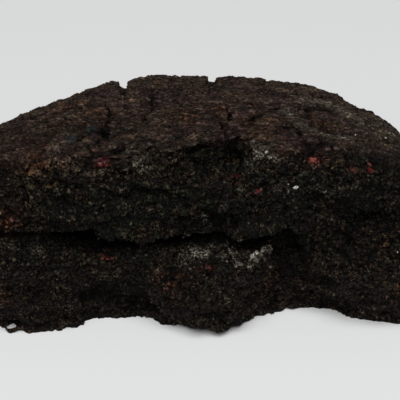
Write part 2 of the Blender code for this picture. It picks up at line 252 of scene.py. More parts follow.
# The split between the two layers: its height at its lowest, the x of that, and how fast it rises
SPLIT_HEIGHT, SPLIT_LOW_X, SPLIT_RISE = 16.7, -8.0, 0.003
SPLIT_LIPS = 0.5  # how far its lips swell towards each other
SPLIT_LEFT_END = 1.6  # depth of the groove that carries it on to the left
# (x, y) of the line where its floor comes out into the light; behind it, shade is painted on the floor
SPLIT_FLOOR = (
    (-36.0, 9.0), (-31.0, 7.4), (-26.0, 7.4), (-23.9, 7.8), (-20.0, 8.2), (-17.7, 8.2), (-14.4, 6.2),
    (-9.7, 6.8), (-5.0, 7.6), (1.3, 7.5), (7.0, 8.2), (9.3, 8.5), (11.5, 8.2), (13.4, 7.6),
    (16.0, 8.0),
)
# (x, how far the upper lip hangs over it, or draws back)
SPLIT_UPPER_LIP = (
    (-34.0, 0.0), (-31.0, -0.9), (-27.0, -1.3), (-24.5, 0.6), (-22.3, 0.7), (-20.5, -1.0), (-18.8, 0.9),
    (-17.5, 2.1), (-14.5, 2.0), (-12.6, 0.2), (-8.5, -0.7), (-6.5, 0.4), (-4.0, 0.0), (4.5, 0.3),
    (7.0, 2.3), (13.5, 2.3), (16.0, 0.0),
)
SCOOP_FILL = 1.5  # crumb that clings to the inside of the scoop


def stretched(place, stretch):
    """A place with its axes divided, so that a pattern over it is drawn out along them."""
    return Vector(value / by for value, by in zip(place, stretch))


def height_over_split(place):
    """How far a place is above the middle of the split between the layers."""
    return place.z - SPLIT_HEIGHT - SPLIT_RISE * (place.x - SPLIT_LOW_X) ** 2


def in_split(place):
    """1 inside the split between the layers, 0 away from it. Shade is painted there."""
    above_split = height_over_split(place)
    above_split += 0.2 + 0.8 * noise.noise(place / 2.5)
    reach = smooth_step(-42.0, -32.0, place.x) * smooth_step(19.0, 12.0, place.x)
    floor_edge = float(np.interp(place.x, *zip(*SPLIT_FLOOR))) + 0.8 * noise.noise(place / 1.5)
    inside = smooth_step(-0.4, 0.4, place.y - floor_edge) * smooth_step(-4.6, -3.8, above_split)
    inside *= smooth_step(1.8, 1.0, above_split)
    half_height = 0.8 + 0.5 * smooth_step(-28.0, -22.0, place.x)
    return reach * max(math.exp(-((above_split / half_height) ** 4)), inside)


def crumb_relief(place):
    """(how far the crags lift a place, how far the grains on them do)"""
    above_split = height_over_split(place)
    by_split = math.exp(-((above_split / 2.0) ** 2))
    upper_lip = float(np.interp(place.x, *zip(*SPLIT_UPPER_LIP))) * smooth_step(9.5, 7.5, place.y)
    upper_lip *= math.exp(-(((above_split - (2.2 if upper_lip > 0.0 else 1.2)) / 1.5) ** 2))
    crags = layered_noise(place, CRUMB_CRAGS, seed=21)
    crags += layered_noise(stretched(place, LEDGE_STRETCH), CRUMB_LEDGES, seed=22)
    crags = crags * (1.0 - 0.8 * by_split) + SPLIT_LIPS * by_split + upper_lip - CRUMB_SINK
    left_end = smooth_step(-44.0, -38.0, place.x) * smooth_step(-19.0, -25.0, place.x)
    crags -= (SPLIT_LEFT_END + SPLIT_LIPS) * left_end * math.exp(-((above_split / 0.7) ** 2))
    crags -= FOOT_SINK * smooth_step(9.0, 2.0, place.z) * smooth_step(-26.0, -20.0, place.x)
    inside = smooth_step(1.5, 3.5, depth_under_crust(place)) * smooth_step(8.0, 10.0, place.y)
    crags += SCOOP_FILL * inside * smooth_step(24.0, 27.0, place.z)
    grains = 0.0
    for size, height in CRUMB_CELLS:
        warped = place / size + 0.35 * noise.noise_vector(place / (1.6 * size))
        near = noise.voronoi(warped)[0]
        grains += height * (0.5 - near[0]) - 0.5 * height * smooth_step(0.2, 0.0, near[1] - near[0])
    for size, height in CRUMB_RIDGES:
        grains += height * (0.3 - abs(noise.noise(place / size + Vector((size, 5.0, 9.0)))))
    return crags, grains


# %% [markdown]
# ### The crust
#
# Crust is different. It dried before the inside did, so it has long cracks with raised lips, shallow wrinkles
# and small pores. The finest wrinkles come from noise, but each crack that the eye would miss is given its
# own place and heading. So are the swells between the cracks, the two gaps in the back rim, and the smooth
# ridge that the crust folded into on the right.

# %% Relief of the crust
CRUST_SWELL_LAYERS = ((6.0, 0.35), (2.6, 0.26))
CRUST_WRINKLES = ((1.4, 0.3), (0.8, 0.3))
WRINKLE_STRETCH = Vector((1.7, 1.0, 1.0))
CRUST_CELLS = ((5.5, 0.5, 0.14), (2.1, 0.32, 0.2))  # (size in mm, depth of the cracks, their share of it)
PORES = (0.85, 0.45)  # (size in mm, depth)
# (x, y) along the two arms of the smooth ridge
RIDGE_LINES = (
    ((16.6, 23.4), (18.1, 20.8), (19.2, 18.0), (20.7, 15.8), (23.3, 14.9), (26.8, 15.0)),
    ((30.8, 20.6), (29.6, 23.5), (27.9, 25.8), (25.6, 27.8), (22.7, 28.8), (20.2, 28.9)),
)
RIDGE_HALF_WIDTH = 1.2
RIDGE_HEIGHT = 0.35

# The long cracks: (start x, start y, heading, length, width, depth, height of the raised lip)
LONG_CRACKS = {
    "left rim notch": (-14.6, 26.0, 93.0, 17.0, 1.0, 0.3, 0.4),
    "right rim notch": (2.2, 35.5, 92.0, 13.5, 1.2, 0.5, 0.2),
    "edge of the left plate": (-27.5, 27.5, 12.0, 12.0, 0.8, 0.4, 0.2),
    "behind the pit": (-18.8, 17.0, 80.0, 7.5, 1.1, 0.8, 0.1),
    "left notch to the pit": (-15.0, 29.0, -113.0, 7.5, 1.2, 0.9, 0.2),
    "left of the pit": (-19.0, 16.6, 207.0, 8.5, 1.0, 0.7, 0.1),
    "in front of the pit": (-18.0, 16.8, -70.0, 5.0, 1.0, 0.5, 0.1),
    "from the left notch": (-9.9, 30.5, -97.0, 12.0, 1.1, 0.9, 0.1),
    "far left": (-37.0, 19.5, 15.0, 9.0, 0.8, 0.3, 0.1),
    "middle, into the scoop": (5.0, 25.5, -86.0, 12.5, 1.0, 0.9, 0.1),
    "right, back": (9.0, 28.4, -22.0, 11.0, 1.2, 1.0, 0.2),
    "right, front": (8.6, 19.0, 38.0, 6.5, 1.0, 0.8, 0.1),
    "beside the ridge": (16.0, 17.8, -52.0, 7.0, 1.0, 0.9, 0.1),
    "right rim": (20.0, 32.0, 20.0, 8.0, 1.2, 1.1, 0.4),
    "back, left": (-30.0, 36.0, 130.0, 9.0, 1.0, 0.5, 0.2),
    "back, right": (13.0, 42.0, 62.0, 9.0, 1.0, 0.5, 0.2),
}
CRACK_WANDER = 2.4
CRACK_WANDER_LENGTH = 6.0
CRACK_RAGGED = (1.3, 0.7)  # (size in mm, how far the sides stray)
LIP_REACH = 1.6

# Where the crust swells between the cracks: (x, y, radius, height)
CRUST_SWELLS = {
    "right of the right notch": (7.5, 39.0, 6.0, 0.7),
    "left of the right notch": (-2.0, 40.5, 4.5, -0.5),
    "right rim": (27.5, 35.0, 5.0, -0.5),
    "right of the left notch": (-10.0, 39.0, 4.0, 0.5),
    "lump beside the pit": (-20.2, 16.6, 1.0, 0.7),
    "lump in front of the pit": (-24.4, 14.0, 1.4, 0.5),
}

# The gaps in the rim: (x where it starts, is deep, is deep still, and ends, depth)
RIM_NOTCHES = {
    "left, steep on its right": (-16.4, -15.6, -14.8, -14.5, 1.6),
    "right, steep on its left": (1.2, 1.7, 2.2, 3.4, 0.6),
}


def notch_depth(place):
    """How far the gaps lower the rim at a place."""
    lowered = 0.0
    for start, deep, still_deep, end, depth in RIM_NOTCHES.values():
        lowered += depth * smooth_step(start, deep, place.x) * smooth_step(end, still_deep, place.x)
    return lowered * smooth_step(30.0, 32.0, place.y) * smooth_step(19.0, 25.0, place.z)


def crack_lift(place, crack):
    """How far a long crack lowers a place, or its lip raises it."""
    start_x, start_y, heading, length, width, depth, lip = crack
    angle = math.radians(heading)
    from_start = Vector((place.x - start_x, place.y - start_y))
    along = from_start.x * math.cos(angle) + from_start.y * math.sin(angle)
    if not -2.0 < along < length + 2.0:
        return 0.0
    across = from_start.y * math.cos(angle) - from_start.x * math.sin(angle)
    across += CRACK_WANDER * noise.noise(Vector((along / CRACK_WANDER_LENGTH, start_x, start_y)))
    across += CRACK_RAGGED[1] * noise.noise(place / CRACK_RAGGED[0])
    ends = smooth_step(-1.5, 1.0, along) * smooth_step(length + 1.5, length - 4.0, along)
    raised = lip * math.exp(-across / LIP_REACH) if across > 0.0 else 0.0
    return ends * (raised - (depth + raised) * smooth_step(0.5 * width, 0.1 * width, abs(across)))


def ridge_share(place):
    """1 on the open oval ridge of smooth crust on the right, 0 away from it."""
    if place.x < 9.0 or place.y < 10.0:
        return 0.0
    spot = Vector((place.x, place.y))
    spot += 0.8 * noise.noise_vector(place / 4.0).to_2d()
    nearest = RIDGE_HALF_WIDTH * 3.0
    for arm in RIDGE_LINES:
        for start, end in zip(arm, arm[1:]):
            start, end = Vector(start), Vector(end)
            along = min(1.0, max(0.0, (spot - start).dot(end - start) / (end - start).length_squared))
            nearest = min(nearest, (spot - start.lerp(end, along)).length)
    uneven = smooth_step(-0.5, 0.1, noise.noise(place / 3.0 + Vector((4.0, 9.0, 2.0))))
    return (0.8 + 0.2 * uneven) * math.exp(-((nearest / RIDGE_HALF_WIDTH) ** 2))


def crust_relief(place, upward):
    """(how far the swells lift a place, how far its cracks, wrinkles and pores do)"""
    swells = layered_noise(stretched(place, WRINKLE_STRETCH), CRUST_SWELL_LAYERS, seed=31)
    ridge = upward * ridge_share(place)
    cracks = 0.0
    if upward > 0.0:
        cracks = upward * max((crack_lift(place, crack) for crack in LONG_CRACKS.values()), key=abs)
        swells += RIDGE_HEIGHT * ridge
        for x, y, radius, height in CRUST_SWELLS.values():
            swells += upward * height * math.exp(-((place.x - x) ** 2 + (place.y - y) ** 2) / radius**2)
    swells -= notch_depth(place)
    wrinkles = layered_noise(stretched(place, WRINKLE_STRETCH), CRUST_WRINKLES, seed=32)
    for size, depth, width in CRUST_CELLS:
        warped = stretched(place, WRINKLE_STRETCH) / size + 0.5 * noise.noise_vector(place / (1.3 * size))
        near = noise.voronoi(warped)[0]
        patchy = smooth_step(-0.25, 0.25, noise.noise(place / (2.5 * size) + Vector((7.0, 3.0, 1.0))))
        wrinkles -= depth * patchy * smooth_step(width, 0.0, near[1] - near[0])
    size, depth = PORES
    near = noise.voronoi(place / size)[0]
    wrinkles -= depth * smooth_step(0.35, 0.1, near[0])
    return swells, cracks + wrinkles * (1.0 - 0.75 * ridge)


# %% [markdown]
# ## Move the points, and remember what they are
#
# Each point moves along its normal by the relief of crumb or crust, by its share of each. At the foot it also
# moves in y, because the real foot line wanders more than the solid's does. The materials need to know more
# than the form: how brown a place is; how high or deep it lies among the grains, for painted light on tops
# and painted shade in hollows; where shade is painted into splits, pits and under overhangs; where the crumb
# is painted pale, partly for dried crumb and partly as painted light; and where it caught more heat. Such
# facts are kept as attributes, one number for each point, and the loose grains take theirs from the place
# where they lie.

# %% Places that stand out by colour
# Each is (x, y, height, radius, strength).
WARM_PLACES = {
    "left shoulder": (-31.2, 10.0, 32.4, 3.5, 0.85),
    "left end of the face": (-36.5, 4.6, 23.0, 3.2, 0.65),
    "left end, low": (-37.0, -0.5, 9.0, 2.6, 0.6),
    "beside the lump, left": (-6.3, -0.5, 10.0, 2.2, 0.6),
    "beside the lump, right": (13.5, 4.0, 8.0, 3.0, 0.6),
    "right end, low": (37.5, 1.0, 8.5, 2.4, 0.8),
    "right end, under the recess": (33.5, 5.0, 17.5, 3.2, 0.4),
    "crust, behind the scoop": (3.1, 23.5, 35.0, 2.0, 0.9),
    "crust, left of the scoop": (-2.7, 19.4, 35.8, 2.0, 0.9),
    "crust, right of the scoop": (12.0, 15.5, 35.4, 2.6, 0.7),
    "crust, right of the middle": (8.8, 18.5, 35.8, 2.0, 0.7),
    "inside the ridge": (23.5, 20.5, 33.0, 2.0, 0.9),
    "left plate": (-19.3, 24.1, 34.0, 2.6, 0.5),
    "far left": (-27.3, 29.4, 32.0, 2.6, 0.4),
}
# Partly painted light: pale for crumb that dried pale and for light on raised tops. The two shelves under the
# split are painted pale against the shadow of the lip.
DRY_AND_LIT_PLACES = {
    "shelf under the split, left": (-30.8, 4.6, 17.0, 2.6, 0.22),
    "shelf under the split, end": (-35.4, 4.8, 17.6, 2.0, 0.18),
    "lump, left of its top": (-0.2, 5.5, 14.6, 2.5, 1.0),
    "lump, left of its middle": (4.0, 4.1, 15.6, 1.5, 0.8),
    "lump, middle of its top": (6.0, 5.4, 15.6, 1.5, 0.8),
    "lump, front of its middle": (7.0, 2.2, 15.4, 1.4, 0.8),
    "lump, right of its top": (10.2, 4.4, 15.2, 2.0, 1.0),
    "lump, right end": (12.6, 6.2, 15.8, 1.5, 0.9),
    "block beside the scoop": (11.0, 9.5, 34.5, 1.5, 1.0),
    "block beside the scoop, right": (13.2, 9.2, 34.2, 1.3, 1.0),
    "rim left of the scoop": (-11.5, 9.0, 33.4, 1.8, 0.5),
    "right shoulder": (15.4, 5.8, 28.0, 1.4, 0.5),
    "right recess": (23.6, 6.4, 26.9, 1.3, 0.7),
    "left end": (-27.4, 10.8, 33.6, 1.2, 0.6),
}
# Painted shade: pits, slots, joints, splits and places under overhangs, painted darker.
PAINTED_SHADE_PLACES = {
    "deep end of the scoop": (6.8, 15.8, 30.5, 1.7, 0.8),
    "slot beside the scoop": (10.2, 6.4, 32.2, 1.6, 0.9),
    "pit beside the lump": (-18.6, 16.6, 34.4, 1.1, 1.0),
    "under the lump in front": (-24.2, 12.5, 34.2, 0.8, 0.8),
    "under the right shoulder": (17.5, 6.6, 31.2, 2.0, 0.7),
    "under the right shoulder, further": (25.5, 6.6, 31.4, 1.8, 0.6),
    "right of the face, high": (31.5, 5.0, 26.5, 3.2, 0.7),
    "right of the face": (30.5, 7.2, 22.0, 3.2, 0.8),
    "right end": (37.0, 5.4, 25.5, 3.4, 0.7),
    "crust behind the block": (11.2, 14.6, 35.4, 1.8, 0.35),
    "right shoulder": (34.0, 10.5, 32.0, 3.6, 0.6),
    "joint beside the lump": (16.0, 9.4, 12.0, 2.6, 1.0),
    "joint, lower": (17.2, 7.4, 9.4, 1.9, 0.9),
    "under the rim, left of the scoop": (-14.2, 9.2, 31.6, 1.3, 0.8),
    "left of the lump, low": (-12.5, 4.2, 4.6, 3.0, 0.6),
    "foot beside the lump": (-8.0, -0.7, 5.5, 2.2, 0.5),
    "left of the face": (-27.0, 4.2, 25.4, 2.6, 0.5),
    "above the foot, left": (-19.6, 4.8, 3.0, 2.8, 0.8),
    "face, right of the middle": (14.0, 5.5, 25.0, 2.4, 0.4),
    "under the left shoulder": (-22.0, 6.6, 29.0, 2.0, 0.5),
    "under the scoop": (-6.0, 8.0, 27.0, 2.4, 0.5),
    "split below the notch": (22.5, 5.8, 8.5, 1.4, 0.9),
    "left side of the lump": (-7.5, 3.0, 10.0, 1.6, 0.5),
}
RED_PLACES = {
    "left shoulder, middle": (-18.6, 9.4, 32.9, 1.3, 0.9),
    "left shoulder, left": (-28.0, 10.6, 33.9, 1.2, 0.5),
    "right of the scoop": (14.2, 9.4, 35.0, 1.0, 0.6),
    "right shoulder": (21.3, 9.7, 33.4, 1.3, 0.9),
    "right shoulder, further": (28.6, 7.6, 32.8, 1.1, 0.5),
    "right shoulder, end": (31.8, 8.8, 32.2, 0.8, 0.8),
    "below the block": (11.4, 4.9, 28.4, 0.9, 0.9),
    "shelf of the scoop": (6.0, 9.8, 28.6, 1.2, 0.4),
    "below the split": (-18.2, 4.9, 14.3, 1.2, 0.6),
    "face, far left": (-36.8, 5.0, 23.0, 1.3, 0.5),
    "face, far left, low": (-35.5, 5.2, 20.8, 1.1, 0.4),
    "left of the lump": (-6.6, 1.6, 12.6, 1.4, 0.3),
    "side of the lump": (-5.0, 0.4, 12.4, 1.6, 0.4),
    "front of the lump, left": (-0.2, 1.2, 14.6, 1.0, 0.6),
    "front of the lump, middle": (1.8, 0.3, 15.4, 0.8, 0.7),
    "front of the lump, right": (7.3, 1.0, 14.3, 1.0, 0.5),
    "beyond the joint": (17.9, 9.0, 12.5, 0.8, 0.3),
    "under the right recess": (25.0, 6.8, 19.2, 1.5, 0.3),
}
GREY_PLACES = {
    "right flank": (36.0, 22.0, 28.5, 7.0, 0.4),
    "lump beside the pit": (-20.2, 16.6, 34.9, 1.0, 0.3),
    "lump in front of the pit": (-24.4, 14.0, 34.7, 1.4, 0.3),
}


def nearness(place, places, wide=1.0):
    """1 at a named place, less in its ragged radius and 0 away from it. Wide places are drawn out in x."""
    ragged = 1.0 + layered_noise(place, ((2.5, 0.9), (1.0, 0.6)), seed=41)
    best = 0.0
    for x, y, z, radius, strength in places.values():
        away = ragged * Vector(((place.x - x) / wide, place.y - y, place.z - z)).length / radius
        if away < 2.0:
            best = max(best, strength * math.exp(-away * away))
    return best


# %% Move the points
SHADE_LEVEL = 0.55
# Painted light and shade: the shade fact is paler where a place stands high and darker in cracks, pores and
# hollows.
SHADE_PER_MM = 0.9  # how much paler a grain's top is than its foot
# Painted light: the crust is painted paler towards the back, for the brighter light there.
BACK_PAINTED_LIGHT = 0.19  # how much paler the crust is at the back
PAINTED_SHADE_WIDE, RED_WIDE = 1.8, 1.3
FOOT_NICK = (-36.0, 1.1, 2.4, 2.2)  # a bite out of the foot on the left: x, half width, height, depth
# (x, y to add) along the foot
FOOT_LINE = (
    (-30.0, 0.0), (-26.5, 0.5), (-24.0, 0.4), (-22.0, -1.0), (-18.5, -1.5), (-15.5, -0.4), (-12.0, 0.0),
    (10.0, 0.0), (12.5, -0.6), (15.0, -1.0), (18.0, -0.7), (24.0, -0.3), (30.0, 0.0),
)


def work_surface(piece):
    """Adds the relief, and keeps the facts of each point."""
    form = bmesh.new()
    form.from_mesh(piece.data)
    form.normal_update()
    names = ("crumb", "baked", "warm", "red", "dry_and_lit", "smooth", "painted_shade", "shade")
    facts = {name: np.zeros(len(form.verts)) for name in names}
    nick_x, nick_width, nick_height, nick_depth = FOOT_NICK
    for index, vert in enumerate(form.verts):
        place = mm(vert.co) - AXIS
        upward = smooth_step(0.1, 0.6, vert.normal.z)
        crumb = crumb_share(place)
        coarse = fine = 0.0
        if crumb > 0.0:
            crags, grains = crumb_relief(place)
            coarse, fine = crumb * crags, crumb * grains
        if crumb < 1.0:
            swells, wrinkles = crust_relief(place, upward)
            coarse, fine = coarse + (1.0 - crumb) * swells, fine + (1.0 - crumb) * wrinkles
        facts["crumb"][index] = crumb
        facts["baked"][index] = baked_share(place, crumb)
        facts["warm"][index] = nearness(place, WARM_PLACES)
        facts["dry_and_lit"][index] = nearness(place, DRY_AND_LIT_PLACES)
        smooth = max(ridge_share(place) * upward, nearness(place, GREY_PLACES))
        facts["smooth"][index] = (1.0 - crumb) * smooth
        # Painted shade: the split and the places above are painted darker.
        facts["painted_shade"][index] = max(nearness(place, PAINTED_SHADE_PLACES, wide=PAINTED_SHADE_WIDE), in_split(place))
        facts["red"][index] = nearness(place, RED_PLACES, wide=RED_WIDE)
        # Painted light on the crust at the back.
        paler = BACK_PAINTED_LIGHT * (1.0 - crumb) * smooth_step(20.0, 34.0, place.y)
        # Painted light and shade: paler on what stands up, darker in cracks, pores and between grains.
        facts["shade"][index] = SHADE_LEVEL + SHADE_PER_MM * fine + paler
        coarse += crumb * (CRUMB_SINK + FOOT_SINK) * smooth_step(2.0, 0.5, place.z)
        move = vert.normal * (coarse + fine) * MM
        nick = math.exp(-(((place.x - nick_x) / nick_width) ** 2))
        nick *= smooth_step(1.3 * nick_height, nick_height, place.z)
        move.y += nick_depth * nick * smooth_step(3.0, 1.0, place.y) * MM
        foot = smooth_step(5.0, 1.5, place.z) * smooth_step(12.0, 9.0, place.y)
        move.y += float(np.interp(place.x, *zip(*FOOT_LINE))) * foot * MM
        move.z *= smooth_step(0.0, 1.2, mm(vert.co).z)  # the base stays on the table
        vert.co += move
        vert.co.z = max(vert.co.z, 0.0)
    form.to_mesh(piece.data)
    form.free()
    for name, values in facts.items():
        layer = piece.data.attributes.new(name, "FLOAT", "POINT")
        layer.data.foreach_set("value", values.clip(0.0, 1.0).astype(np.float32))
    return facts


body_facts = work_surface(body)
print("crumb covers", round(100 * body_facts["crumb"].mean()), "percent of the points")

# %% [markdown]
# ## Loose and half-loose grains
#
# The finest grains, about half a millimetre, would need a net ten times finer, so they are separate little
# lumps pressed into the surface. Eight or twenty uneven sides are enough at this size, and they catch the
# light like broken crumb. Thousands of them are made at once as arrays of numbers, and each kind is one mesh.

# %% Read the faces that the grains lie on
def read(collection, name, width=1, kind=np.float64):
    """One property of many mesh elements as an array."""
    values = np.zeros(len(collection) * width, dtype=kind)
    collection.foreach_get(name, values)
    return values.reshape(-1, width) if width > 1 else values


faces = body.data.polygons
seats = read(faces, "center", 3)
upright = read(faces, "normal", 3)
areas = read(faces, "area")
first_corner = read(faces, "loop_start", kind=np.int32)
corner_count = read(faces, "loop_total", kind=np.int32)
corner_verts = read(body.data.loops, "vertex_index", kind=np.int32)
face_facts = {
    name: np.add.reduceat(values[corner_verts], first_corner) / corner_count
    for name, values in body_facts.items()
}

# The remesh may number its faces in another order each time, so they are put in order of place.
order = np.lexsort(np.round(seats.T / (0.0001 * MM)))
seats, upright, areas = seats[order], upright[order], areas[order]
face_facts = {name: values[order] for name, values in face_facts.items()}
crumb, dry_and_lit = face_facts["crumb"], face_facts["dry_and_lit"]
print("square mm of crumb:", round((areas * crumb).sum() / MM**2))


# %% Scatter grains over the surface
def slow_noise(size, seed):
    """A slow noise, one value for each face, for patches of more and fewer grains."""
    shift = Vector((seed * 13.7, seed * 5.3, seed * 29.9))
    return np.array([noise.noise(Vector(seat) / (size * MM) + shift) for seat in seats])


def turned(count, random):
    """Random rotation matrices, from random unit quaternions."""
    q = random.normal(size=(count, 4))
    w, x, y, z = (q / np.linalg.norm(q, axis=1)[:, None]).T
    rows = (
        (1 - 2 * (y * y + z * z), 2 * (x * y - z * w), 2 * (x * z + y * w)),
        (2 * (x * y + z * w), 1 - 2 * (x * x + z * z), 2 * (y * z - x * w)),
        (2 * (x * z - y * w), 2 * (y * z + x * w), 1 - 2 * (x * x + y * y)),
    )
    return np.array(rows).transpose(2, 0, 1)


def blank_grain(sides):
    """Corners and triangles of a ball with 8, 20 or 80 sides."""
    ball = bmesh.new()
    if sides == 8:
        bmesh.ops.create_uvsphere(ball, u_segments=4, v_segments=2, radius=1.0)
    else:
        bmesh.ops.create_icosphere(ball, subdivisions=1 if sides == 20 else 2, radius=1.0)
    shape = np.array([vert.co[:] for vert in ball.verts])
    triangles = np.array([[vert.index for vert in face.verts] for face in ball.faces])
    ball.free()
    return shape, triangles


def pick_faces(count, weights, seed):
    """Faces drawn by lot, more of them where the weights are high."""
    chance = areas * weights
    return np.random.default_rng(seed).choice(len(chance), size=count, p=chance / chance.sum())


def nearest_faces(places):
    """The face nearest to each (x, y, height) from the axis."""
    targets = (np.array(places) + np.array(AXIS)) * MM
    return np.array([np.argmin(((seats - target) ** 2).sum(axis=1)) for target in targets])


def grow_grains(name, picked, sizes, seed, sides=20, sunk=0.2, flat=1.0, wide=1.0, shades=(0.3, 1.0)):
    """Uneven grains on the picked faces, (smallest, largest) mm across. Wide grains are drawn out in x."""
    count = len(picked)
    random = np.random.default_rng(seed)
    shape, triangles = blank_grain(sides)
    radii = 0.5 * MM * (sizes[0] + (sizes[1] - sizes[0]) * random.random(count) ** 2.2)
    stretch = random.uniform(0.6, 1.4, size=(count, 1, 3))
    least, most = (0.85, 1.15) if sides == 80 else (0.6, 1.3)
    uneven = random.uniform(least, most, size=(count, len(shape), 1))
    points = shape[None] * stretch * uneven * radii[:, None, None]
    points = np.einsum("nij,nkj->nki", turned(count, random), points)
    raised = np.einsum("nki,ni->nk", points, upright[picked])
    points -= (1.0 - flat) * raised[:, :, None] * upright[picked][:, None, :]
    points[:, :, 0] *= wide
    aside = random.uniform(-0.5, 0.5, size=(count, 3)) * np.sqrt(areas[picked])[:, None]
    aside -= (aside * upright[picked]).sum(axis=1)[:, None] * upright[picked]
    middles = seats[picked] + aside - upright[picked] * (sunk * flat * radii)[:, None]
    points += middles[:, None, :]
    points[:, :, 2] = np.maximum(points[:, :, 2], 0.0)
    corners = triangles[None] + (np.arange(count) * len(shape))[:, None, None]
    mesh = bpy.data.meshes.new(name)
    mesh.from_pydata(points.reshape(-1, 3), [], corners.reshape(-1, 3).tolist())
    facts = {fact: values[picked] for fact, values in face_facts.items()}
    # Painted shade: a grain takes the darker shade of a hollow where it lies, times a random tone.
    facts["shade"] = (random.uniform(*shades, count) * (0.4 + 1.1 * facts["shade"])).clip(0.0, 1.0)
    for fact, values in facts.items():
        layer = mesh.attributes.new(fact, "FLOAT", "POINT")
        layer.data.foreach_set("value", np.repeat(values, len(shape)).astype(np.float32))
    piece = bpy.data.objects.new(name, mesh)
    bpy.context.scene.collection.objects.link(piece)
    print(name, count, "grains,", len(mesh.polygons), "triangles")
    return piece


# %% The kinds of grain
clumps = np.clip(0.7 + 1.4 * slow_noise(4.0, seed=1) + 0.9 * slow_noise(1.6, seed=2), 0.08, 2.0)
off_base = seats[:, 2] > BASE_LEVEL * MM
in_view = np.clip(0.35 + upright @ np.array(to_camera) * 1.4, 0.15, 1.0)
raised = np.clip((face_facts["shade"] - 0.1) / 0.4, 0.08, 1.0)
where_torn = crumb**2 * clumps * raised * off_base * in_view
where_baked = (1.0 - crumb) ** 2 * (1.0 - 0.8 * face_facts["smooth"]) * raised**2 * off_base * (0.3 + in_view)

torn_faces, more_torn_faces = pick_faces(24500, where_torn, 3), pick_faces(3500, where_torn, 4)
# Partly painted light: more pale grains where crumb dried and where light falls on raised tops.
baked_faces, dry_and_lit_faces = pick_faces(19000, where_baked, 5), pick_faces(2200, dry_and_lit**2 * off_base, 6)
flake_form = {"sides": 8, "flat": 0.35, "wide": 1.8}
grains = [
    grow_grains("fine_crumbs", torn_faces, (0.3, 0.65), 3, sides=8, shades=(0.1, 1.0)),
    grow_grains("coarse_crumbs", more_torn_faces, (0.6, 1.3), 4),
    grow_grains("crust_flakes", baked_faces, (0.3, 0.9), 5, shades=(0.1, 1.0), **flake_form),
    grow_grains("dry_and_lit_crumbs", dry_and_lit_faces, (0.35, 0.9), 6, shades=(0.15, 1.0)),
]

# %% [markdown]
# ### Single crumbs that catch the eye
#
# A few crumbs are red-brown from the sugar that browned in them. A few pale grains are painted glints, where
# points of light catch the crumb, and some larger crumbs on the lump and beside the scoop are painted pale,
# partly for crumb that dried and partly as painted light on their tops. Two rounded lumps of harder dough sit
# by the pit on the left. Each is put on the face nearest to its place.

# %% Toasted crumbs, glint grains, pale crumbs and hard lumps
TOASTED_PLACES = (
    (-18.1, 9.3, 32.7), (-18.4, 9.4, 33.2), (-18.9, 9.5, 33.5), (-17.8, 9.3, 33.2), (-19.3, 9.6, 33.8),
    (-18.5, 9.3, 32.5), (-17.6, 9.2, 32.5), (-18.0, 9.3, 33.4), (-27.6, 10.7, 34.0), (11.0, 5.0, 28.4),
    (11.6, 4.9, 28.1), (11.3, 4.9, 28.8), (14.2, 9.4, 35.0), (21.1, 9.7, 33.5), (31.6, 9.3, 32.2),
    (21.7, 9.6, 33.2), (20.6, 9.8, 33.5), (32.0, 9.0, 31.9), (31.8, 9.2, 32.4), (-18.6, 6.5, 14.1),
    (-17.8, 4.6, 14.8), (-18.2, 5.7, 14.4), (-35.8, 4.7, 22.5), (18.3, 5.9, 30.3), (1.8, 0.3, 15.4),
    (6.2, 12.6, 27.5), (6.6, 12.0, 27.6),
)
# Painted glints: pale grains where points of light glint on the crumb.
GLINT_PLACES = (
    (16.6, 6.5, 29.6), (17.0, 6.4, 29.6), (-37.7, 6.3, 23.4), (23.2, 6.7, 26.8), (-27.4, 10.9, 33.6),
    (-35.5, 13.1, 32.1), (37.1, 3.2, 16.2), (29.1, 18.5, 32.4), (35.4, 22.8, 29.4), (3.5, 9.8, 28.0),
    (-13.7, 10.0, 29.2),
)
# Partly painted light: pale crumbs on the lump's top and beside the scoop, where light falls.
PALE_PLACES = (
    (-1.8, 6.6, 14.9), (-0.8, 6.3, 14.7), (-1.2, 5.2, 14.6), (0.3, 6.0, 14.6), (0.9, 5.0, 14.9),
    (-0.2, 4.6, 14.4), (1.4, 5.9, 15.0), (3.6, 5.0, 15.7), (4.2, 3.9, 15.6), (4.4, 2.6, 15.7),
    (5.6, 6.2, 15.6), (6.3, 5.0, 15.6), (6.3, 3.1, 15.6), (7.3, 2.2, 15.2), (8.2, 2.6, 15.0),
    (9.0, 5.0, 15.0), (9.9, 4.4, 15.2), (10.6, 5.4, 15.0), (11.2, 4.4, 15.2), (12.0, 6.0, 15.6),
    (12.8, 6.6, 15.8), (12.8, 5.2, 15.4), (10.2, 3.8, 14.4), (9.9, 9.6, 34.6), (10.8, 9.2, 34.4),
    (11.7, 8.9, 34.1), (12.7, 8.8, 34.0), (13.7, 8.9, 34.0),
)
LUMP_PLACES = ((-20.2, 16.7, 34.6), (-24.4, 14.2, 34.4))

at_toasted, at_glints = nearest_faces(TOASTED_PLACES), nearest_faces(GLINT_PLACES)
at_pale, at_lumps = nearest_faces(PALE_PLACES), nearest_faces(LUMP_PLACES)
toasted_crumbs = grow_grains("toasted_crumbs", at_toasted, (0.8, 1.5), 7, shades=(0.3, 0.8))
# Painted glints: pale grey grains.
glint_grains = grow_grains("glint_grains", at_glints, (0.5, 1.1), 8, shades=(0.5, 1.0))
pale_crumbs = grow_grains("pale_crumbs", at_pale, (0.65, 1.25), 9, sides=80, sunk=0.4, shades=(0.2, 1.0))
hard_lumps = grow_grains("hard_lumps", at_lumps, (2.5, 2.9), 10, sides=80, sunk=0.3, shades=(0.4, 0.5))

# %% [markdown]
# ### A curled flake at the foot
#
# A thin curl of crumb hangs on at the foot on the left and lies on the table in front of the bite. It is a
# short strip: a row of rings along its middle line, each ring a flat uneven ellipse, closed at both ends.

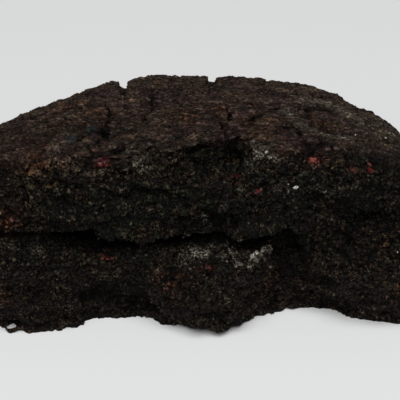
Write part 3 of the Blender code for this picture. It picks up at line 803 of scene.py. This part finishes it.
# %% Make the flake from rings
# (x, y, height, width, thickness) along its middle line, with places as for the crumbs
FLAKE_RINGS = (
    (-37.4, 0.3, 1.3, 0.3, 0.3), (-37.0, -0.2, 0.9, 0.9, 0.6), (-36.4, -0.5, 0.7, 1.2, 0.7),
    (-35.6, -0.2, 0.8, 1.1, 0.7), (-34.8, 0.3, 1.1, 1.2, 0.8), (-34.0, 0.4, 1.1, 1.5, 1.0),
    (-33.2, 0.3, 1.1, 1.4, 1.0), (-32.5, 0.1, 1.6, 0.8, 0.6),
)
FLAKE_SIDES = 10

random = np.random.default_rng(12)
points, flake_faces = [], []
for x, y, z, width, thickness in FLAKE_RINGS:
    for side in range(FLAKE_SIDES):
        turn = 2.0 * math.pi * side / FLAKE_SIDES
        across = Vector((0.0, width * math.cos(turn), thickness * math.sin(turn))) * random.uniform(0.4, 0.6)
        points.append((Vector((x, y, max(z, 0.55 * thickness))) + across + AXIS) * MM)
for ring in range(len(FLAKE_RINGS) - 1):
    for side in range(FLAKE_SIDES):
        near, far = ring * FLAKE_SIDES, (ring + 1) * FLAKE_SIDES
        beside = (side + 1) % FLAKE_SIDES
        flake_faces.append((near + side, far + side, far + beside, near + beside))
flake_faces.append(tuple(range(FLAKE_SIDES)))
flake_faces.append(tuple(reversed(range(len(points) - FLAKE_SIDES, len(points)))))
flake_mesh = bpy.data.meshes.new("foot_flake")
flake_mesh.from_pydata([point[:] for point in points], [], flake_faces)
flake = bpy.data.objects.new("foot_flake", flake_mesh)
bpy.context.scene.collection.objects.link(flake)
apply_modifier(flake, "SUBSURF", levels=2)
for vert in flake.data.vertices:
    away = 0.18 * noise.noise(mm(vert.co) / 0.5) + 0.12 * noise.noise(mm(vert.co) / 0.25)
    vert.co += vert.normal * (away * MM)
    vert.co.z = max(vert.co.z, 0.0)
for name, value in (("crumb", 1.0), ("baked", 0.3), ("shade", 0.35)):
    layer = flake.data.attributes.new(name, "FLOAT", "POINT")
    layer.data.foreach_set("value", np.full(len(flake.data.vertices), value, dtype=np.float32))
print("the flake has", len(flake.data.polygons), "faces")

# %% [markdown]
# ## Finishes
#
# Dark baked cocoa sends back only about 1 to 3 percent of the light. Its specular level is low and its
# roughness high, because the surface is dry and open. Colours are written as sRGB hex, as a paint chart gives
# them, and turned to the linear values that the shader mixes.

# %% Colours and nodes
def colour(hex_code):
    """An sRGB hex colour as linear red, green, blue and alpha."""
    channels = [int(hex_code[i : i + 2], 16) / 255 for i in (1, 3, 5)]
    linear = [c / 12.92 if c <= 0.04045 else ((c + 0.055) / 1.055) ** 2.4 for c in channels]
    return (*linear, 1.0)


def add_node(tree, kind, settings=(), links=()):
    """Adds a node. Settings are (attribute or input, value), and links are (input, output socket)."""
    node = tree.nodes.new(kind)
    for name, value in settings:
        if isinstance(name, str) and hasattr(node, name):
            setattr(node, name, value)
        else:
            node.inputs[name].default_value = value
    for name, socket in links:
        tree.links.new(socket, node.inputs[name])
    return node


def fact(tree, name):
    """The value that the mesh keeps for each point."""
    return add_node(tree, "ShaderNodeAttribute", [("attribute_name", name)]).outputs["Fac"]


def pattern(tree, size, detail=3.0, roughness=0.6, stretch=(1.0, 1.0, 1.0)):
    """Noise with patches about `size` millimetres across, fixed to the object."""
    place = add_node(tree, "ShaderNodeTexCoord").outputs["Object"]
    scales = [1.0 / (size * MM * by) for by in stretch]
    place = add_node(tree, "ShaderNodeMapping", [("Scale", scales)], [("Vector", place)]).outputs["Vector"]
    settings = [("Scale", 1.0), ("Detail", detail), ("Roughness", roughness)]
    return add_node(tree, "ShaderNodeTexNoise", settings, [("Vector", place)]).outputs["Fac"]


def ramp(tree, factor, stops):
    """A colour ramp through (position, hex colour) stops."""
    node = add_node(tree, "ShaderNodeValToRGB", links=[("Fac", factor)])
    elements = node.color_ramp.elements
    while len(elements) < len(stops):
        elements.new(0.5)
    for element, (position, hex_code) in zip(elements, stops):
        element.position = position
        element.color = colour(hex_code)
    return node.outputs["Color"]


def mix(tree, factor, first, second):
    """Mixes two colour sockets by a factor socket."""
    links = [(0, factor), (6, first), (7, second)]
    return add_node(tree, "ShaderNodeMix", [("data_type", "RGBA")], links).outputs[2]


def tinted(tree, base, tint, gain):
    """One colour times another, times a number."""
    links = [(0, base), (1, tint)]
    both = add_node(tree, "ShaderNodeVectorMath", [("operation", "MULTIPLY")], links).outputs[0]
    scale = [("operation", "SCALE"), ("Scale", gain)]
    return add_node(tree, "ShaderNodeVectorMath", scale, [(0, both)]).outputs[0]


def strengthen(tree, base, factor, low, high, least, most):
    """Multiplies a colour by a number that goes from least to most as the factor goes from low to high."""
    settings = [("From Min", low), ("From Max", high), ("To Min", least), ("To Max", most)]
    share = add_node(tree, "ShaderNodeMapRange", settings, [("Value", factor)]).outputs["Result"]
    links = [(0, base), ("Scale", share)]
    return add_node(tree, "ShaderNodeVectorMath", [("operation", "SCALE")], links).outputs[0]


# %% [markdown]
# ### Baked crust and torn crumb
#
# The crust is cocoa dough dried in the oven: brown, with olive, mauve and tan patches where it dried
# unevenly. The crumb under it kept its fat and is nearly black. All of it is one dough, so one material turns
# from one to the other by the values kept at each point, and the grains share it. Hollows, splits and places
# under overhangs are painted darker, as painted shade. Light and shade are painted by height too: what stands
# up is painted paler and greyer, and what lies deep darker and warm brown, so the last step multiplies the
# colour by tints that go from one to the other.

# %% Make the cocoa material
CRUST_STOPS = [(0.36, "#2b2121"), (0.47, "#332722"), (0.55, "#2f2821"), (0.66, "#3b2c23")]
CRUMB_STOPS = [(0.36, "#10120b"), (0.48, "#17170f"), (0.56, "#1b1711"), (0.66, "#251c14")]
WARM_STOPS = [(0.38, "#22150f"), (0.5, "#332016"), (0.64, "#4c301e")]
RED_STOPS = [(0.38, "#260f0c"), (0.5, "#3a1410"), (0.64, "#52251c")]
# Pale grey, partly for dried crumb and partly as painted light.
DRY_AND_LIT_STOPS = [(0.36, "#24221f"), (0.5, "#48443e"), (0.62, "#7e7971")]
# Paler grey for the smooth ridge and the grey places; on the ridge it is partly painted sheen.
SMOOTH_GREY_AND_SHEEN_STOPS = [(0.3, "#3d3933"), (0.7, "#5a554d")]
# Painted light and shade: what stands up is painted paler and greyer, and what lies deep darker and redder.
# The grain tints vary the same way by a fine noise. Both are multiplied by TINT_GAIN.
SHADE_TINTS = [(0.0, "#33251a"), (0.5, "#a9a49e"), (1.0, "#f3faf9")]
GRAIN_TINTS = [(0.43, "#2c1f15"), (0.5, "#aeaaa3"), (0.57, "#f5f9f5")]
BAKED_GRAIN_TINTS = [(0.38, "#75655a"), (0.5, "#b2aeaa"), (0.62, "#dfe4e8")]
TINT_GAIN = 2.05
GRAIN_SIZE = 0.5  # the real grit is about half of it, too fine to show
DOUGH_SPECULAR, SUGAR_SPECULAR = 0.09, 0.3


def cocoa_colour(tree):
    """The dough's colour at a point."""
    crust = ramp(tree, pattern(tree, 4.5, detail=4.0), CRUST_STOPS)
    # Partly painted sheen: the smooth ridge is paler grey.
    crust = mix(tree, fact(tree, "smooth"), crust, ramp(tree, pattern(tree, 2.0), SMOOTH_GREY_AND_SHEEN_STOPS))
    crumb_tint = ramp(tree, pattern(tree, 3.0, detail=4.0), CRUMB_STOPS)
    crumb_tint = strengthen(tree, crumb_tint, pattern(tree, 1.0), 0.4, 0.6, 0.2, 1.6)
    base = mix(tree, fact(tree, "baked"), crumb_tint, crust)
    base = mix(tree, fact(tree, "warm"), base, ramp(tree, pattern(tree, 1.2), WARM_STOPS))
    base = mix(tree, fact(tree, "red"), base, ramp(tree, pattern(tree, 0.8), RED_STOPS))
    # Partly painted light: paler where the crumb dried and where light falls on raised tops.
    base = mix(tree, fact(tree, "dry_and_lit"), base, ramp(tree, pattern(tree, 0.9), DRY_AND_LIT_STOPS))
    # Painted shade: hollows, splits and places under overhangs are darkened to 0.3.
    base = strengthen(tree, base, fact(tree, "painted_shade"), 0.0, 1.0, 1.0, 0.3)
    # Painted light and shade: tints by the shade fact make tops paler and greyer, hollows darker and redder.
    base = tinted(tree, base, ramp(tree, fact(tree, "shade"), SHADE_TINTS), TINT_GAIN)
    base = strengthen(tree, base, pattern(tree, 2.2, stretch=(2.5, 1.0, 1.0)), 0.35, 0.65, 0.7, 1.3)
    base = strengthen(tree, base, pattern(tree, 0.7, stretch=(4.0, 1.2, 1.0)), 0.38, 0.62, 0.5, 1.4)
    grains = pattern(tree, GRAIN_SIZE)
    on_crust, on_crumb = ramp(tree, grains, BAKED_GRAIN_TINTS), ramp(tree, grains, GRAIN_TINTS)
    return tinted(tree, base, mix(tree, fact(tree, "crumb"), on_crust, on_crumb), TINT_GAIN)


def cocoa_material(name, roughness, grain_height, shade_between_crumbs=1.0):
    """Dry cocoa dough, with grain too fine for the mesh as a bump. Between the crumbs it is painted darker,
    as painted shade.
    """
    material = bpy.data.materials.new(name)
    material.use_nodes = True
    tree = material.node_tree
    shader = tree.nodes["Principled BSDF"]
    shade_between_flakes = 0.5 + 0.5 * shade_between_crumbs
    base = strengthen(tree, cocoa_colour(tree), fact(tree, "crumb"), 0.0, 1.0, shade_between_flakes, shade_between_crumbs)
    tree.links.new(base, shader.inputs["Base Color"])
    shader.inputs["Roughness"].default_value = roughness
    shader.inputs["Specular IOR Level"].default_value = DOUGH_SPECULAR
    settings = [("Strength", 1.0), ("Distance", grain_height * MM)]
    bump = add_node(tree, "ShaderNodeBump", settings, [("Height", pattern(tree, GRAIN_SIZE, roughness=0.7))])
    tree.links.new(bump.outputs["Normal"], shader.inputs["Normal"])
    return material


# Painted shade: the body is painted darker between the loose crumbs and flakes.
body.data.materials.append(
    cocoa_material("baked_cocoa_dough", roughness=0.62, grain_height=0.25, shade_between_crumbs=0.42)
)
grain_finish = cocoa_material("torn_cocoa_grain", roughness=0.58, grain_height=0.05)
for piece in (*grains, flake):
    piece.data.materials.append(grain_finish)

# %% [markdown]
# ### Toasted crumbs, glints and pale crumbs
#
# Browned sugar is red-brown and a little glossy. The glint grains are pale grey, as painted glints: points of
# light on the crumb. Dried dough is grey-black where it is hard. The loose pale crumbs are dusty pale, partly
# for dried crumb and partly as painted light on raised tops. Each crumb has its own tint, by its shade, and
# the noise gives it darker and paler spots.

# %% Make the materials of the single crumbs
def grain_material(name, stops, roughness, mottle=0.4):
    """One tint in each grain, by its shade, with darker and paler spots of `mottle` millimetres."""
    material = bpy.data.materials.new(name)
    material.use_nodes = True
    tree = material.node_tree
    shader = tree.nodes["Principled BSDF"]
    tint = ramp(tree, fact(tree, "shade"), stops)
    tint = strengthen(tree, tint, pattern(tree, mottle), 0.38, 0.62, 0.25, 1.6)
    tree.links.new(tint, shader.inputs["Base Color"])
    shader.inputs["Roughness"].default_value = roughness
    shader.inputs["Specular IOR Level"].default_value = SUGAR_SPECULAR
    return material


TOASTED_STOPS = [(0.4, "#360c0b"), (0.8, "#561512"), (1.0, "#723428")]
# Painted glints: pale grey.
GLINT_STOPS = [(0.5, "#77736b"), (1.0, "#b4afa5")]
HARD_STOPS = [(0.3, "#0f0f0e"), (1.0, "#1d1b1a")]
# Pale, partly for dried crumb and partly as painted light on raised tops.
PALE_STOPS = [(0.3, "#33302b"), (0.7, "#5a564f"), (1.0, "#857f77")]

toasted_crumbs.data.materials.append(grain_material("toasted_sugar_crumb", TOASTED_STOPS, roughness=0.45))
glint_grains.data.materials.append(grain_material("painted_glint_grain", GLINT_STOPS, roughness=0.3))
hard_lumps.data.materials.append(grain_material("dried_dough", HARD_STOPS, roughness=0.6, mottle=0.8))
pale_crumbs.data.materials.append(grain_material("dry_and_lit_pale_crumb", PALE_STOPS, roughness=0.6, mottle=0.6))

# %% [markdown]
# ## Ride and replace
#
# Every piece is tied to what it moves with, and the body stands for the solid, which stays hidden.

# %% Tie the pieces to the solid
for piece in (body, *grains, toasted_crumbs, glint_grains, pale_crumbs, hard_lumps, flake):
    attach(piece, "root")
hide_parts("cookie")

# %% [markdown]
# ## The studio
#
# The cookie lies on a wide pale sheet. One very large soft light hangs above and in front of it, so its
# shadow falls behind it, and in front only a thin dark line is left where its foot curls under.

# %% Floor, light and world
FLOOR_COLOUR, SKY_COLOUR, SKY_STRENGTH = "#e6e7e7", "#f6f6f4", 0.15
SOFTBOX_PLACE, SOFTBOX_SIDE, SOFTBOX_WATTS = (0.0, -0.52, 1.02), 1.1, 15.3

bpy.ops.mesh.primitive_plane_add(size=3.0)
floor = bpy.context.object
floor.name = "floor"
floor_finish = bpy.data.materials.new("matt_white_paper")
floor_finish.use_nodes = True
floor_shader = floor_finish.node_tree.nodes["Principled BSDF"]
floor_shader.inputs["Base Color"].default_value = colour(FLOOR_COLOUR)
floor_shader.inputs["Roughness"].default_value = 0.9
floor_shader.inputs["Specular IOR Level"].default_value = 0.1
floor.data.materials.append(floor_finish)

bpy.ops.object.light_add(type="AREA", location=SOFTBOX_PLACE)
softbox = bpy.context.object
softbox.name = "softbox"
softbox.data.shape = "SQUARE"
softbox.data.size = SOFTBOX_SIDE
softbox.data.energy = SOFTBOX_WATTS
softbox.rotation_euler = softbox.location.to_track_quat("Z", "Y").to_euler()

world = bpy.data.worlds.new("studio")
world.use_nodes = True
background = world.node_tree.nodes["Background"]
background.inputs["Color"].default_value = colour(SKY_COLOUR)
background.inputs["Strength"].default_value = SKY_STRENGTH
bpy.context.scene.world = world
bpy.context.scene.view_settings.view_transform = "Standard"
